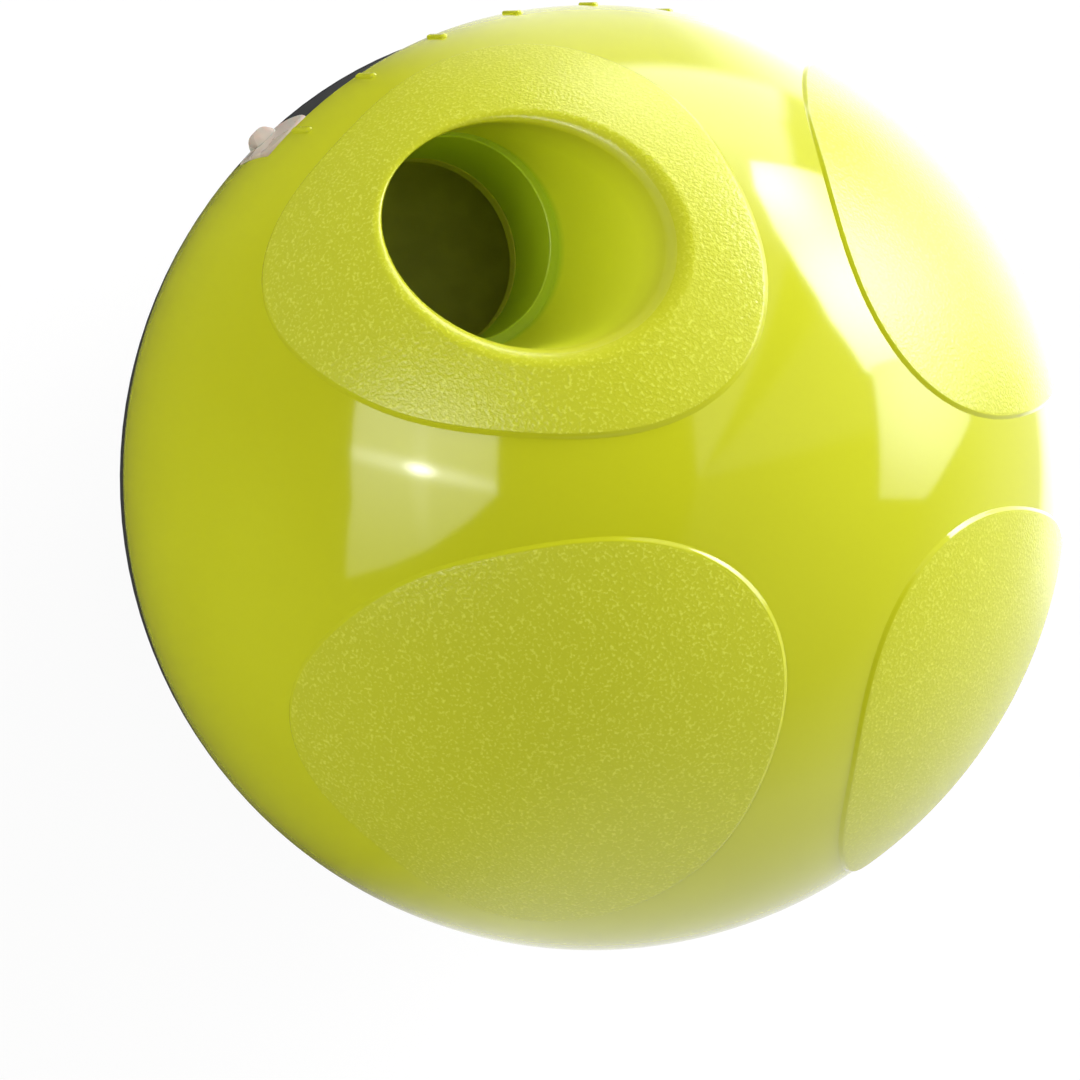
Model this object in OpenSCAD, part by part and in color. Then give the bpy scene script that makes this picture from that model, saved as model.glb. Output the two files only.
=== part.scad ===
// Timed treat ball: a green cover with an outlet tube twists onto a black base that holds
// a motor-driven wheel of six treat pods. Origin at the ball's centre, +Z towards the green pole.

/* [Ball] */
// Outer diameter of the ball
ball_d = 146; // [144:0.5:150]
// Wall thickness of both half shells
wall = 3; // [2.7:0.1:3.3]
// Height of the base's tongue that the cover fits over
tongue_h = 6; // [5.5:0.1:6.5]
// Radial thickness of the tongue at its foot
tongue_t = 3.4; // [3.2:0.1:3.6]
// Thickness of the screen behind the selector's slot
screen_t = 1.8; // [1.4:0.1:2.2]
// Play between the tongue and the inside of the cover
lap_gap = 0.4; // [0.3:0.05:0.6]

/* [Grip pads] */
// Height of the pads over the ball's surface
pad_rise = 0.4; // [0.2:0.1:0.8]
// Angle from the pole to the middle of a pad
pad_polar = 42.8; // [41:0.1:44]
// Mean radius of a pad's outline, seen from the ball's centre, in degrees
pad_span = 24.2; // [22:0.1:25]
// Pads round each half
pad_count = 4; // [3:1:4]

/* [Outlet] */
// Bore of the tube at its inner end
tube_d = 26.6; // [24:0.1:27]
// Distance of that bore from the outer wall of the pod under it
tube_room = 0.5; // [0.3:0.1:1.5]
// Wall thickness of the tube
tube_wall = 1.9; // [1.7:0.1:2.1]
// Gain in radius at the ledge between the tube's inner and outer bores
tube_step = 0.9; // [0.7:0.1:1]
// How far the outer bore's foot is set over towards the pole
ledge_shift = 0.5; // [0.3:0.1:0.6]
// How far the mouth is set over towards the pole, so that the outer bore leans
mouth_shift = 3.2; // [2.6:0.1:3.6]
// Height of that ledge over the joint of the halves
tube_ledge_z = 36.5; // [34:0.5:39]
// Height of the tube's inner end over the joint
tube_end_z = 23.6; // [23.2:0.1:24]
// Gain in radius of the tube's outer bore up to its mouth
tube_draft = 0.5; // [0.3:0.1:0.8]
// Rounding of the tube's mouth
lip_r = 2.6; // [2:0.1:3]

/* [Selector] */
// Bearing of the first position
sel_first = -0.8; // [-2:0.1:2]
// Turn from one position to the next
sel_step = 10; // [9:0.5:10]
// Positions
sel_count = 6; // [4:1:6]
// Height of the slot in the cover's rim
notch_h = 17.4; // [16:0.1:18]
// Height of the sill under the knob
sill_h = 2.2; // [1.8:0.1:2.6]
// Width of the knob's plate, in degrees round the ball
knob_span = 7; // [6:0.5:7.5]
// Width of the knob's grip
grip_w = 3.6; // [3:0.1:4.4]
// How far the grip stands out of the ball
grip_rise = 1.4; // [1:0.1:2]
// Radius of the grip's crown
grip_r = 4.6; // [4.2:0.1:5]
// Width of the knob's stem
stem_w = 3.2; // [2.6:0.1:3.6]
// Height of the knob's stem
stem_h = 2.6; // [2.2:0.1:3]
// Length of a scale mark
mark_l = 5.8; // [5:0.1:6.4]
// Width of a scale mark
mark_w = 1.3; // [1:0.1:1.6]
// Height of a scale mark over the ball's surface
mark_rise = 0.45; // [0.3:0.05:0.7]
// Play of the knob in the slot
knob_gap = 0.3; // [0.2:0.05:0.4]

/* [Twist lock] */
// Lugs inside the cover's rim
lug_count = 3; // [3:1:3]
// Bearing of the first lug
lug_first = 20; // [19:1:22]
// Width of a lug in degrees
lug_span = 8; // [6:1:9]
// Height of a lug
lug_h = 1.8; // [1.4:0.1:2]
// Reach of a lug into the tongue
lug_t = 1.2; // [1:0.1:1.4]
// Turn that unlocks the cover
twist = 14; // [12:1:14]

/* [Treat wheel] */
// Room between the wheel and the tongue, in which the knob's slide runs
slide_room = 3.94; // [3.7:0.02:4.2]
// Height of the wheel
wheel_h = 22; // [21:0.5:23]
// Thickness of its walls and partitions
pod_wall = 1.6; // [1.4:0.1:2]
// Pods in the wheel
pod_count = 6; // [5:1:6]
// Diameter of its hub
hub_d = 25.2; // [25:0.1:27]
// Gap between the wheel and the pod cover
wheel_gap = 0.5; // [0.4:0.1:0.8]
// Thickness of the pod cover
lid_t = 2; // [1.6:0.1:2.2]
// Height of the collar round the tube's end
collar_h = 2.4; // [2:0.1:2.8]
// Wall of that collar
collar_t = 1.2; // [1:0.1:1.4]
// Diameter of the axle
axle_d = 6; // [5.6:0.1:6.4]
// Diameter of the axle's threaded end
axle_end_d = 4; // [3.6:0.1:4.2]
// Diameter of the washer over the wheel's hub
washer_d = 14; // [12:0.5:15]
// Thickness of that washer
washer_t = 0.8; // [0.6:0.1:1]
// Height of the nut
nut_h = 3.2; // [2.8:0.1:3.2]
// Nut size across its corners
nut_d = 8; // [7.6:0.1:8.4]
// Play between the pod cover's edge and the shell
lid_gap = 1; // [0.8:0.1:1.2]

/* [Fits] */
// Running play between a shaft and what turns on it, on the radius
run_gap = 0.05; // [0.03:0.01:0.08]
// Play of a pin, screw or plug in its hole, on the radius
pin_gap = 0.05; // [0.03:0.01:0.06]
// Gap between parts that seat on each other
seat_gap = 0.2; // [0.15:0.05:0.3]

/* [Drive] */
// Gear module
gear_m = 1.5; // [1.45:0.05:1.5]
// Teeth of the wheel's gear
gear_z = 36; // [36:4:36]
// Teeth of the motor's pinion
pinion_z = 12; // [12:2:12]
// Pressure angle
gear_pa = 25; // [24:1:26]
// Height of a tooth over the pitch circle, as a share of the module
addendum_share = 0.9; // [0.85:0.05:0.95]
// Depth of a tooth space under the pitch circle, as a share of the module
dedendum_share = 1.15; // [1.1:0.05:1.2]
// Play between the teeth
backlash = 0.25; // [0.2:0.05:0.35]
// Face width of the gear
gear_w = 4.5; // [4:0.1:5]
// Width of the geared motor
motor_w = 12; // [12:0.1:12.4]
// Depth of the geared motor
motor_t = 10; // [9.6:0.1:10.2]
// Length of its can
motor_l = 15; // [12:1:16]
// Length of its gearbox
gearbox_l = 9; // [8:0.5:10]
// Height of the brush cap at the motor's end
motor_cap_t = 1; // [0.8:0.1:1.2]
// Wall of the bracket round the gearbox
bracket_t = 1.6; // [1.4:0.1:2]
// Diameter of its shaft
shaft_d = 3; // [2.8:0.1:3]

/* [Deck and board] */
// Room between the deck that carries the works and the tongue
deck_room = 4.94; // [4.4:0.02:6]
// Thickness of the deck
deck_t = 2.4; // [2:0.1:3]
// Gap between the deck and the gear
deck_gap = 1.2; // [1:0.1:1.6]
// Thickness of the circuit board
board_t = 1.6; // [1.2:0.1:1.6]
// Distance of the board under the deck
standoff = 2.6; // [2.2:0.1:3]
// Width of the board, from the ball's axis outwards
board_w = 24; // [22:0.5:26]
// Distance of the deck's posts from its edge
post_inset = 9; // [8:0.5:10]
// Diameter of the posts
post_d = 8; // [7:0.5:8]
// Bearing of the first post
post_first = 20; // [19:1:22]
// Posts
post_count = 4; // [4:1:4]

/* [Electronics] */
// Length of the timer chip
chip_l = 10; // [8:0.5:12]
// Width of the timer chip
chip_w = 6; // [4:0.5:7]
// Height of the timer chip
chip_h = 1.8; // [1.4:0.1:2]
// Diameter of the buzzer
buzzer_d = 12; // [9:0.5:13]
// Height of the buzzer
buzzer_h = 8.5; // [6:0.5:9.5]
// Diameter of the capacitor
cap_d = 6.3; // [5:0.1:8]
// Height of the capacitor
cap_h = 7; // [5:0.5:11]

// Thickness of the selector's wiper
wiper_t = 0.8; // [0.6:0.1:1]

/* [Battery bay] */
// Diameter of a cell
cell_d = 14.5; // [14.2:0.1:14.5]
// Length of a cell
cell_l = 50.5; // [49.5:0.1:50.5]
// Diameter of a cell's positive nub
nub_d = 5.5; // [5.2:0.1:5.5]
// Height of that nub
nub_l = 1; // [1:0.1:1.3]
// Height of the cells' axes over the bottom of the ball
cell_rise = 20.5; // [20:0.5:21.5]
// Play round the cells
cell_gap = 0.5; // [0.4:0.1:0.6]
// Length of a contact spring
spring_l = 5.5; // [5:0.1:5.5]
// Wall of the bay
bay_wall = 1.8; // [1.6:0.1:2]
// Thickness of the battery door
door_t = 2.2; // [2:0.1:2.2]
// Play round the door
door_gap = 0.3; // [0.2:0.05:0.4]
// Width of the ledge that the door rests on, from the door's edge outwards
ledge_w = 2; // [1.6:0.1:2.4]
// How far that ledge stands in from the shell
ledge_t = 1.4; // [1.2:0.1:1.8]
// Radius of the door's corners
door_corner = 6; // [4:0.5:8]
// Distance of the door's screws from the middle
door_screw_y = 21.5; // [21.3:0.1:22]

/* [Screws] */
// Shank diameter of the small screws
screw_d = 2.6; // [2.4:0.1:2.6]
// Head diameter of the small screws
screw_head_d = 4.8; // [4.4:0.1:5]
// Head height of the small screws
screw_head_h = 1.8; // [1.6:0.1:1.9]
// Shank length of the small screws
screw_l = 8; // [7:0.5:8]

/* [Hidden] */

over = 1;
fine = 128;
ball_r = ball_d / 2;
bore_r = ball_r - wall;
mid_r = ball_r - wall / 2;
tongue_r = sqrt(pow(bore_r, 2) - pow(tongue_h, 2)) - lap_gap;
tongue_in = tongue_r - tongue_t;

// pad outline as shares of its mean radius, on cosines of the angle from the pole's side
pad_shares = [0.08, 0.058, 0.073, -0.006, 0.02];
pad_steps = 40;

wheel_r = tongue_in - slide_room;
tube_r = tube_d / 2;
tube_x = wheel_r - pod_wall - tube_r - tube_room;
tube_wide_r = tube_r + tube_step;
tube_out_r = tube_wide_r + tube_wall;
ledge_x = tube_x - ledge_shift;
mouth_r = tube_wide_r + tube_draft;
mouth_x = tube_x - mouth_shift;
tube_top_x = tube_x - 3 * mouth_shift / 4;
tube_top_r = mouth_r + tube_wall;
lip_steps = 3;
lip_sides = 48;

// stack of the inside, from the outlet downwards
lid_top = tube_end_z - seat_gap;
lid_bottom = lid_top - lid_t;
lid_r = sqrt(pow(bore_r, 2) - pow(lid_top, 2)) - lid_gap;
wheel_top = lid_bottom - wheel_gap;
wheel_bottom = wheel_top - wheel_h;
hub_r = hub_d / 2;
nut_room = washer_t + nut_h + seat_gap;
hub_top = wheel_top - nut_room;
gear_bottom = wheel_bottom - gear_w;
deck_r = tongue_in - deck_room;
post_x = deck_r - post_inset;
deck_top = gear_bottom - deck_gap;
deck_bottom = deck_top - deck_t;
boss_top = gear_bottom - seat_gap;
boss_r = axle_d / 2 + screw_d * 2;
board_top = deck_bottom - standoff;
board_bottom = board_top - board_t;

gear_x = gear_m * (gear_z + pinion_z) / 2;
web_t = gear_w / 2;
gear_screw_x = (axle_d / 2 + hub_r) / 2;
screw_r = screw_d / 2;
head_r = screw_head_d / 2;

// selector: knob, slot in the cover and slot in the screen
sel_last = sel_first - sel_step * (sel_count - 1);
knob_half = knob_span / 2;
play_deg = knob_gap / ball_r * 180 / PI;
notch_a1 = sel_first + knob_half + play_deg;
notch_a0 = sel_last - knob_half - play_deg - twist - 2 * play_deg;
sill_a0 = notch_a0 + twist + play_deg;
screen_h = notch_h + wall / 2;
screen_a0 = notch_a0 - knob_half;
screen_a1 = notch_a1 + knob_half;
mark_z = notch_h + mark_w;
stem_z = sill_h + knob_gap + screw_head_h;
stem_deg = stem_w / 2 / bore_r * 180 / PI;
carrier_r = tongue_in - 2 * knob_gap;
carrier_t = (carrier_r - wheel_r) / 2;

wiper_top = board_top + pin_gap + wiper_t;

lug_z = (tongue_h - lug_h) / 2 + knob_gap;
lug_half = lug_span / 2;

cell_r = cell_d / 2;
cell_z = ball_r - cell_rise;
bay_x = (cell_l + spring_l + cell_gap) / 2;
bay_y = cell_d + cell_gap;
bay_top = cell_gap + cell_r - cell_z;
door_x = bay_x + bay_wall - door_gap;
door_boss_r = screw_d / 2 + bay_wall;
door_y = door_screw_y + door_boss_r + door_gap;
door_seat = sqrt(pow(ball_r, 2) - pow(door_screw_y, 2)) - screw_head_h;
door_boss_z = door_seat - screw_head_h;

green = "#b9c024";
black = "#26272a";
white = "#d8d2c8";
steel = "#b8bcc2";

// ring sector between two radii, two heights and two bearings, on the ball's axis
module arc_bar(r_in, r_out, z0, z1, a0, a1)
    rotate([0, 0, a0])
        rotate_extrude(angle = a1 - a0, $fn = fine)
            translate([r_in, z0])
                square([r_out - r_in, z1 - z0]);

// the same, with spherical faces inside and outside
module ball_bar(r_in, r_out, z0, z1, a0, a1)
    rotate([0, 0, a0])
        rotate_extrude(angle = a1 - a0, $fn = fine)
            intersection() {
                difference() {
                    circle(r_out, $fn = fine);
                    circle(r_in, $fn = fine);
                }
                translate([0, z0])
                    square([r_out, z1 - z0]);
            }

module round_bar(r, z0, z1)
    translate([0, 0, z0])
        cylinder(r = r, h = z1 - z0, $fn = fine);

module pan_screw(length) {
    round_bar(screw_r, 0, length);
    difference() {
        round_bar(head_r, -screw_head_h, 0);
        for (turn = [0, 90])
            rotate([0, 0, turn])
                translate([-head_r / 2, -head_r / 8, -screw_head_h - over])
                    cube([head_r, head_r / 4, over + screw_head_h / 2]);
    }
}

function pad_angle(a) = pad_span * (1 + [for (k = [0:4]) pad_shares[k] * cos((k + 1) * a)]
    * [1, 1, 1, 1, 1]);

// a pad's outline on the plane square to its own axis, with the pole towards -X
function pad_points() = [
    for (k = [0:pad_steps - 1])
        let (a = 360 * k / pad_steps, r = ball_r * sin(pad_angle(a)))
            [-r * cos(a), r * sin(a)],
];

module pads()
    intersection() {
        difference() {
            sphere(ball_r + pad_rise, $fn = fine);
            sphere(mid_r, $fn = fine);
        }
        union()
            for (k = [0:pad_count - 1])
                rotate([0, pad_polar, k * 360 / pad_count])
                    translate([0, 0, ball_r / 2])
                        linear_extrude(ball_r)
                            polygon(pad_points());
    }

module half_ball() {
    rotate_extrude($fn = fine)
        intersection() {
            difference() {
                circle(ball_r, $fn = fine);
                circle(bore_r, $fn = fine);
            }
            square(ball_r);
        }
    pads();
}

function ledge_point(a) = [ledge_x + tube_wide_r * cos(a), tube_wide_r * sin(a), tube_ledge_z];

// point of the mouth's rounding: t from 0 on the ball's surface to 1 on the leaning wall
function lip_point(a, t) =
    let (
        e = [cos(a), sin(a), 0],
        foot = [mouth_x, 0, 0] + mouth_r * e,
        rim = foot + [0, 0, sqrt(pow(ball_r + pad_rise, 2) - foot * foot)],
        n = rim / norm(rim),
        out = e - n * (n * e),
        s = out / norm(out),
        up = rim - ledge_point(a)
    )
    rim + lip_r * ((1 - sin(90 * t)) * s - (1 - cos(90 * t)) * up / norm(up));

function lip_ring(a, k) =
    k == 0 ? lip_point(a, 0) * (1 + over / ball_r)
    : k == lip_steps + 2 ? ledge_point(a)
    : lip_point(a, (k - 1) / lip_steps);

// the outer bore, from the ledge to the rounded mouth
module mouth_cutter() {
    rings = lip_steps + 3;
    points = [
        for (k = [0:rings - 1], i = [0:lip_sides - 1]) lip_ring(360 * i / lip_sides, k),
        [mouth_x, 0, ball_r],
        [ledge_x, 0, tube_ledge_z],
    ];
    top = rings * lip_sides;
    faces = [
        for (i = [0:lip_sides - 1])
            let (j = (i + 1) % lip_sides)
                each concat(
                    [[top, j, i]],
                    [for (k = [0:rings - 2], s = [0, 1])
                        s == 0
                            ? [k * lip_sides + i, k * lip_sides + j, (k + 1) * lip_sides + i]
                            : [k * lip_sides + j, (k + 1) * lip_sides + j, (k + 1) * lip_sides + i]],
                    [[top + 1, (rings - 1) * lip_sides + i, (rings - 1) * lip_sides + j]]
                ),
    ];
    polyhedron(points, faces);
}

module upper_shell() color(green) difference() {
    union() {
        half_ball();
        intersection() {
            union() {
                translate([tube_x, 0, 0])
                    round_bar(tube_out_r, tube_end_z, ball_r);
                translate([tube_top_x, 0, 0])
                    round_bar(tube_top_r, tube_ledge_z - wall / 2, ball_r);
            }
            sphere(mid_r, $fn = fine);
        }
        intersection() {
            round_bar(axle_d, lid_top + seat_gap, ball_r);
            sphere(mid_r, $fn = fine);
        }
        for (k = [0:lug_count - 1])
            let (a = lug_first + k * 360 / lug_count)
                arc_bar(tongue_r - lug_t, mid_r, lug_z, lug_z + lug_h, a - lug_half, a + lug_half);
        for (k = [0:sel_count - 1])
            let (a = sel_first - k * sel_step, half = mark_w / 2 / ball_r * 180 / PI)
                ball_bar(mid_r, ball_r + mark_rise, mark_z, mark_z + mark_l, a - half, a + half);
    }
    round_bar(axle_d / 2, 0, bore_r - wall);
    translate([tube_x, 0, 0])
        round_bar(tube_r, 0, tube_ledge_z + seat_gap);
    mouth_cutter();
    arc_bar(bore_r - wall, ball_r + over, -over, notch_h, notch_a0, notch_a1);
}

module pod_cover() color(black) difference() {
    union() {
        round_bar(lid_r, lid_bottom, lid_top);
        translate([tube_x, 0, 0])
            round_bar(tube_out_r + seat_gap + collar_t, lid_bottom, lid_top + collar_h);
    }
    translate([tube_x, 0, 0]) {
        round_bar(tube_r, lid_bottom - over, lid_top + over);
        round_bar(tube_out_r + seat_gap, lid_top, lid_top + collar_h + over);
    }
    round_bar(axle_end_d / 2 + run_gap, lid_bottom - over, lid_top + over);
}

module door_prism(gap) {
    x = door_x + gap - door_corner;
    y = door_y + gap - door_corner;
    translate([0, 0, -ball_r - over])
        linear_extrude(ball_r / 2)
            union() {
                square([2 * (x + door_corner), 2 * y], center = true);
                square([2 * x, 2 * (y + door_corner)], center = true);
                for (sx = [-1, 1], sy = [-1, 1])
                    translate([sx * x, sy * y])
                        circle(door_corner, $fn = fine);
            }
}

module at_door_screws()
    for (s = [-1, 1])
        translate([0, s * door_screw_y, 0])
            children();

module at_posts()
    for (k = [0:post_count - 1])
        rotate([0, 0, post_first + k * 360 / post_count])
            translate([post_x, 0, 0])
                children();

module lock_slots() {
    top = lug_z + lug_h + knob_gap;
    deep = tongue_r - lug_t - knob_gap;
    side = lug_half + 2 * play_deg;
    for (k = [0:lug_count - 1])
        let (a = lug_first + k * 360 / lug_count) {
            arc_bar(deep, bore_r + over, lug_z - knob_gap, top, a - side, a + twist);
            arc_bar(deep - seat_gap, bore_r + over, lug_z, tongue_h + over,
                a + twist - side, a + twist + side);
        }
}

module base_shell() difference() {
    rotate_extrude($fn = fine)
        intersection() {
            circle(ball_r, $fn = fine);
            union() {
                difference() {
                    translate([0, -ball_r])
                        square(ball_r);
                    circle(bore_r, $fn = fine);
                }
                translate([tongue_r - over, -over])
                    square([ball_r, over + sill_h]);
            }
        }
    arc_bar(tongue_in, ball_r + over, 0, sill_h + over, notch_a1 - play_deg, sill_a0 + 360);
}

// ring that the cover fits over, with the screen standing on it behind the selector
module tongue() {
    rotate_extrude($fn = fine)
        polygon([
            [tongue_in, tongue_h],
            [tongue_r, tongue_h],
            [tongue_r, -over / 2],
            [mid_r, -over / 2],
            [mid_r, -2 * tongue_h],
            [tongue_in, -tongue_h],
        ]);
    ball_bar(tongue_r - screen_t, tongue_r, tongue_h - over, screen_h, screen_a0, screen_a1);
}

module base_walls() {
    base_shell();
    rotate([180, 0, 0])
        pads();
    tongue();
    intersection() {
        sphere(mid_r, $fn = fine);
        union() {
            translate([-bay_x - bay_wall, -bay_y - bay_wall, -ball_r])
                cube([2 * (bay_x + bay_wall), 2 * (bay_y + bay_wall), ball_r + bay_top + bay_wall]);
            at_door_screws()
                round_bar(door_boss_r + 2 * door_gap + bay_wall / 2, -ball_r, -door_boss_z + screw_l);
            at_posts()
                round_bar(post_d / 2, -ball_r, deck_bottom);
            difference() {
                door_prism(ledge_w);
                sphere(bore_r - ledge_t, $fn = fine);
            }
        }
    }
}

module lower_shell() color(black) difference() {
    base_walls();
    lock_slots();
    arc_bar(wheel_r, ball_r, stem_z - knob_gap, stem_z + stem_h + knob_gap,
        sel_last - stem_deg - play_deg, sel_first + stem_deg + play_deg);
    translate([-bay_x, -bay_y, -ball_r - over])
        cube([2 * bay_x, 2 * bay_y, ball_r + over + bay_top]);
    difference() {
        door_prism(door_gap);
        sphere(ball_r - door_t - pin_gap, $fn = fine);
    }
    at_door_screws() {
        round_bar(door_boss_r + door_gap, -ball_r - over, -door_boss_z + door_gap);
        round_bar(screw_r + pin_gap, -ball_r, -door_seat + screw_l + door_gap);
    }
    at_posts()
        round_bar(screw_r + pin_gap, deck_bottom - screw_l, deck_bottom + over);
}

module battery_door() color(black) difference() {
    union() {
        intersection() {
            rotate([180, 0, 0])
                half_ball();
            difference() {
                door_prism(0);
                sphere(ball_r - door_t, $fn = fine);
            }
        }
        intersection() {
            sphere(ball_r - door_t / 2, $fn = fine);
            union() {
                at_door_screws()
                    round_bar(door_boss_r, -ball_r, -door_boss_z);
                for (s = [-1, 1])
                    translate([s * bay_x / 2 - bay_wall / 2, -cell_d, -ball_r])
                        cube([bay_wall, 2 * cell_d, ball_r - cell_z - cell_r - cell_gap]);
            }
        }
    }
    at_door_screws() {
        round_bar(head_r + pin_gap, -ball_r - over, -door_seat);
        round_bar(screw_r + pin_gap, -ball_r, -door_boss_z + over);
    }
}

module door_screws() color(steel)
    at_door_screws()
        translate([0, 0, -door_seat])
            pan_screw(screw_l);

module treat_wheel() color(black) difference() {
    union() {
        difference() {
            round_bar(wheel_r, wheel_bottom, wheel_top);
            round_bar(wheel_r - pod_wall, wheel_bottom + pod_wall, wheel_top + over);
        }
        for (k = [0:pod_count - 1])
            rotate([0, 0, (k + 0.5) * 360 / pod_count])
                translate([0, -pod_wall / 2, wheel_bottom])
                    cube([wheel_r - pod_wall / 2, pod_wall, wheel_h]);
        round_bar(hub_r, wheel_bottom, wheel_top);
    }
    round_bar(axle_d / 2 + run_gap, wheel_bottom - over, wheel_top);
    round_bar(hub_r - pod_wall, hub_top, wheel_top + over);
    at_gear_screws()
        round_bar(screw_r + pin_gap, wheel_bottom - over, wheel_bottom + screw_l);
}

module at_gear_screws()
    for (k = [0:2])
        rotate([0, 0, 120 * k])
            translate([gear_screw_x, 0, 0])
                children();

function inv(a) = tan(a) * 180 / PI - a;

// half the angle that a tooth spans at radius r
function tooth_half(z, r) =
    let (
        pitch = gear_m * z / 2,
        base = pitch * cos(gear_pa),
        at_pitch = (PI * gear_m - backlash) / 4 / pitch * 180 / PI
    )
    at_pitch + inv(gear_pa) - (r > base ? inv(acos(base / r)) : 0);

flank_shares = [0, 0.25, 0.5, 0.75, 1];

function tooth_points(z) =
    let (
        root = gear_m * (z / 2 - dedendum_share),
        tip = gear_m * (z / 2 + addendum_share),
        low = max(root, gear_m * z / 2 * cos(gear_pa)),
        radii = concat(root < low ? [root] : [], [for (s = flank_shares) low + s * (tip - low)]),
        last = len(radii) - 1
    )
    [
        for (k = [0:z - 1], i = [0:2 * last + 1])
            let (
                r = radii[i <= last ? i : 2 * last + 1 - i],
                side = i <= last ? -1 : 1,
                a = 360 * k / z + side * tooth_half(z, r)
            )
                r * [cos(a), sin(a)],
    ];

module drive_gear() color(white) difference() {
    translate([0, 0, gear_bottom])
        linear_extrude(gear_w)
            polygon(tooth_points(gear_z));
    round_bar(axle_d / 2 + run_gap, gear_bottom - over, wheel_bottom + over);
    arc_bar(hub_r, gear_m * gear_z / 2 - 2 * web_t, gear_bottom - over, gear_bottom + web_t, 0, 360);
    at_gear_screws() {
        round_bar(head_r + pin_gap, gear_bottom - over, gear_bottom + screw_head_h + pin_gap);
        round_bar(screw_r + pin_gap, gear_bottom, wheel_bottom + over);
    }
}

module gear_screws() color(steel)
    at_gear_screws()
        translate([0, 0, gear_bottom + screw_head_h + pin_gap])
            pan_screw(screw_l);

module axle() color(steel) {
    round_bar(axle_d / 2, deck_bottom - 2 * deck_t, hub_top + pin_gap);
    round_bar(axle_end_d / 2, hub_top, lid_top - seat_gap);
}

module axle_washer() color(steel)
    difference() {
        round_bar(washer_d / 2, hub_top + pin_gap, hub_top + pin_gap + washer_t);
        round_bar(axle_end_d / 2 + pin_gap, hub_top, hub_top + washer_t + over);
    }

module axle_nut() color(steel)
    difference() {
        translate([0, 0, hub_top + pin_gap + washer_t])
            cylinder(r = nut_d / 2, h = nut_h, $fn = 6);
        round_bar(axle_end_d / 2 + pin_gap, hub_top, wheel_top + over);
    }

bracket_x = motor_t / 2 + bracket_t;
bracket_y = motor_w / 2 + bracket_t;
flange_y = bracket_y + screw_head_d + 2 * knob_gap;
gearbox_z = deck_bottom - gearbox_l;

module at_bracket_screws()
    for (s = [-1, 1])
        translate([-gear_x, s * (bracket_y + head_r + knob_gap), 0])
            children();

board_a0 = sel_last - screw_head_d;
board_a1 = sel_first + 2 * screw_head_d;
board_out = tongue_in + knob_gap;
board_in = board_out - board_w;

module at_board_screws()
    for (a = [board_a0 + screw_head_d, board_a1 - screw_head_d])
        rotate([0, 0, a])
            translate([board_in + screw_head_d, 0, 0])
                children();

module deck() color(black) difference() {
    union() {
        round_bar(deck_r, deck_bottom, deck_top);
        round_bar(boss_r, deck_bottom - 2 * deck_t, boss_top);
        at_board_screws()
            round_bar(screw_head_d / 2 + pin_gap, board_top, deck_top);
    }
    round_bar(axle_d / 2 + pin_gap, deck_bottom - 3 * deck_t, boss_top + over);
    translate([-gear_x, 0, 0])
        round_bar(shaft_d / 2 + 2 * knob_gap, deck_bottom - over, deck_top + over);
    at_bracket_screws()
        round_bar(screw_r + pin_gap, deck_bottom - over, deck_top + over);
    at_posts()
        round_bar(screw_r + pin_gap, deck_bottom - over, deck_top + over);
    at_board_screws()
        round_bar(screw_r + pin_gap, board_top - over, deck_top - deck_t / 4);
}

module deck_screws() color(steel)
    at_posts()
        translate([0, 0, deck_top])
            rotate([180, 0, 0])
                pan_screw(screw_l);

module pinion() color(white) difference() {
    translate([-gear_x, 0, gear_bottom])
        rotate([0, 0, 180 / pinion_z])
            linear_extrude(gear_w - wheel_gap)
                polygon(tooth_points(pinion_z));
    translate([-gear_x, 0, 0])
        round_bar(shaft_d / 2, gear_bottom - over, wheel_bottom + over);
}

module motor_shaft() color(steel)
    translate([-gear_x, 0, 0])
        round_bar(shaft_d / 2, deck_bottom - gearbox_l / 3, wheel_bottom - wheel_gap);

module gearbox() color("#b59b55") difference() {
    translate([-gear_x - motor_t / 2, -motor_w / 2, gearbox_z])
        cube([motor_t, motor_w, gearbox_l]);
    translate([-gear_x, 0, 0])
        round_bar(shaft_d / 2 + run_gap, deck_bottom - gearbox_l / 3 - pin_gap, deck_bottom + over);
}

module motor_can() color(steel)
    translate([-gear_x, 0, 0]) {
        intersection() {
            round_bar(motor_w / 2, gearbox_z - motor_l, gearbox_z);
            translate([-motor_t / 2, -motor_w / 2, gearbox_z - motor_l])
                cube([motor_t, motor_w, motor_l]);
        }
        round_bar(motor_t / 4, gearbox_z - motor_l - motor_cap_t, gearbox_z);
    }

module motor_bracket() color(black) difference() {
    translate([-gear_x, 0, 0])
        union() {
            translate([-bracket_x, -bracket_y, gearbox_z - bracket_t])
                cube([2 * bracket_x, 2 * bracket_y, gearbox_l + bracket_t]);
            translate([-bracket_x, -flange_y, deck_bottom - bracket_t])
                cube([2 * bracket_x, 2 * flange_y, bracket_t]);
        }
    translate([-gear_x - motor_t / 2 - pin_gap, -motor_w / 2 - pin_gap, gearbox_z])
        cube([motor_t + 2 * pin_gap, motor_w + 2 * pin_gap, gearbox_l + over]);
    translate([-gear_x, 0, 0])
        round_bar(motor_w / 2 + pin_gap, gearbox_z - 2 * bracket_t, gearbox_z + over);
    at_bracket_screws()
        round_bar(screw_r + pin_gap, gearbox_z, deck_bottom + over);
}

module bracket_screws() color(steel)
    at_bracket_screws()
        translate([0, 0, deck_bottom - bracket_t])
            pan_screw(bracket_t + deck_t);

module circuit_board() color("#1f6b3a") difference() {
    arc_bar(board_in, board_out, board_bottom, board_top, board_a0, board_a1);
    at_board_screws()
        round_bar(screw_r + pin_gap, board_bottom - over, board_top + over);
}

module board_screws() color(steel)
    at_board_screws()
        translate([0, 0, board_bottom])
            pan_screw(board_t + standoff + deck_t / 2);

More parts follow.
